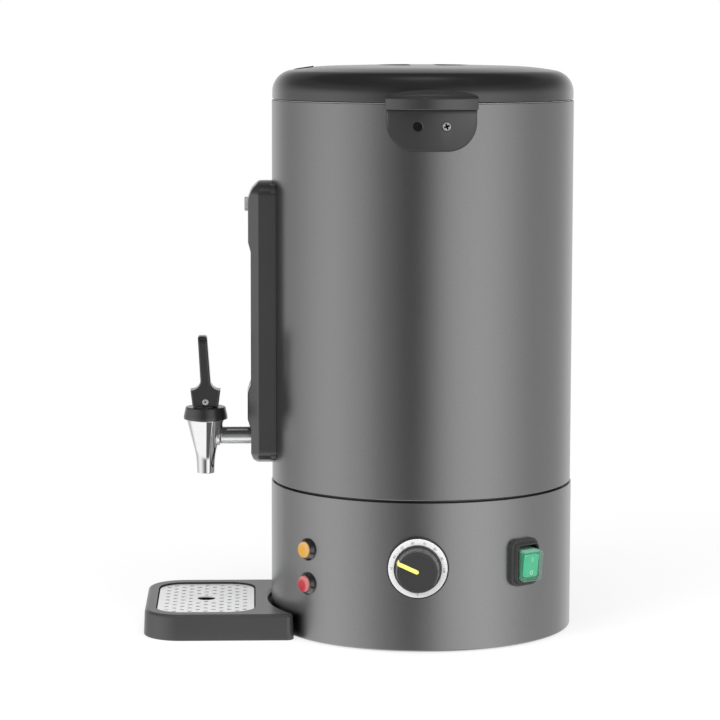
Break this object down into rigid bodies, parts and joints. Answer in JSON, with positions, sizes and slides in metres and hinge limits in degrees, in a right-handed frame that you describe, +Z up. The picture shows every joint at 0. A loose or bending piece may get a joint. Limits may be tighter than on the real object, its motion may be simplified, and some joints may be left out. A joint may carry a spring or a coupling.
{
  "type": "hot drink dispenser",
  "caption": "Cylindrical double-walled hot drink boiler on a control base, with lift-off lid, carry handles, sight gauge, lever tap and drip tray.",
  "frame": {"origin": "on the drum's axis, on the plane that the rubber feet stand on", "axes": "+Z up along the drum's axis, the tap and drip tray towards -X, the control panel towards -Y"},
  "size_m": [0.3434, 0.2733, 0.4496],
  "materials": {
    "drum_steel": "satin brushed",
    "base_steel": "satin brushed",
    "bright_steel": "bright brushed",
    "lid_plastic": "satin moulded",
    "dark_plastic": "fine moulded grain",
    "black_plastic": "satin moulded",
    "chrome_plate": "polished",
    "scale_metal": "satin",
    "pointer_yellow": "moulded",
    "amber_plastic": "translucent",
    "red_plastic": "translucent",
    "green_plastic": "translucent",
    "sight_tube": "clear",
    "rubber": "matt",
    "silicone": "matt",
    "brass": "turned",
    "zinc_steel": "zinc plated",
    "grey_plastic": "moulded"
  },
  "bodies": {
    "stand": {"base_shell": "base_steel", "base_plate": "zinc_steel", "rubber_feet": "rubber", "tie_rods": "zinc_steel", "tie_nuts": "zinc_steel", "seam_ring": "black_plastic", "body_shell": "drum_steel", "inner_tank": "bright_steel", "front_handle": "dark_plastic", "rear_handle": "dark_plastic", "handle_screws": "bright_steel", "backing_plates": "zinc_steel", "gauge_housing": "dark_plastic", "gauge_gasket": "dark_plastic", "sight_glass": "sight_tube", "glass_seals": "silicone", "gauge_block": "brass", "gauge_top_holder": "black_plastic", "gauge_cap_screw": "chrome_plate", "tap_shank": "chrome_plate", "shank_spacer": "black_plastic", "shank_washers": "silicone", "shank_nut": "brass", "tap_body": "chrome_plate", "tap_collar": "black_plastic", "tap_spring": "bright_steel", "scale_base": "black_plastic", "scale_plate": "scale_metal", "thermostat": "zinc_steel", "capillary_bulb": "brass", "lamp_bezels": "black_plastic", "amber_lens": "amber_plastic", "red_lens": "red_plastic", "lamp_nuts": "black_plastic", "switch_frame": "black_plastic", "switch_body": "black_plastic", "heating_element": "zinc_steel", "thermal_cutout": "grey_plastic", "terminal_block": "grey_plastic", "cable_gland": "black_plastic"},
    "lid_body": {"lid": "lid_plastic", "lid_grip": "lid_plastic", "lid_seal": "silicone"},
    "stem_body": {"tap_stem": "bright_steel", "seat_cup": "silicone"},
    "lever_body": {"tap_lever": "black_plastic", "lever_pin": "bright_steel"},
    "dial_body": {"dial_knob": "black_plastic", "dial_pointer": "pointer_yellow", "thermostat_spindle": "zinc_steel"},
    "rocker_body": {"switch_rocker": "black_plastic", "switch_boot": "green_plastic"},
    "tray_body": {"drip_tray": "dark_plastic"},
    "grid_body": {"drip_grid": "bright_steel"}
  },
  "joints": [
    {"name": "lid_lift", "type": "slide", "parent": "stand", "child": "lid_body", "axis": [0, 0, 1], "range_m": [0, 0.25]},
    {"name": "stem_lift", "type": "slide", "parent": "stand", "child": "stem_body", "axis": [0, 0, 1], "range_m": [0, 0.00453], "stiffness_N_per_m": 400, "deforming": ["tap_spring"]},
    {"name": "lever_tilt", "type": "hinge", "parent": "stem_body", "child": "lever_body", "pos_m": [-0.1736, 0, 0.1805], "axis": [0, -1, 0], "range_deg": [0, 25]},
    {"name": "dial_turn", "type": "hinge", "parent": "stand", "child": "dial_body", "pos_m": [0, 0, 0.0668], "axis": [-0.0767, -0.9971, 0], "range_deg": [-166, 114]},
    {"name": "rocker_tilt", "type": "hinge", "parent": "stand", "child": "rocker_body", "pos_m": [0.06981, -0.09264, 0.0665], "axis": [-0.7986, -0.6018, 0], "range_deg": [0, 13.2]},
    {"name": "tray_slide", "type": "slide", "parent": "stand", "child": "tray_body", "axis": [-1, 0, 0], "range_m": [0, 0.12]},
    {"name": "grid_lift", "type": "slide", "parent": "tray_body", "child": "grid_body", "axis": [0, 0, 1], "range_m": [0, 0.05]}
  ],
  "couplings": [
    {"joint": "lever_tilt", "follows": "stem_lift", "rad_per_m": 96.15}
  ]
}
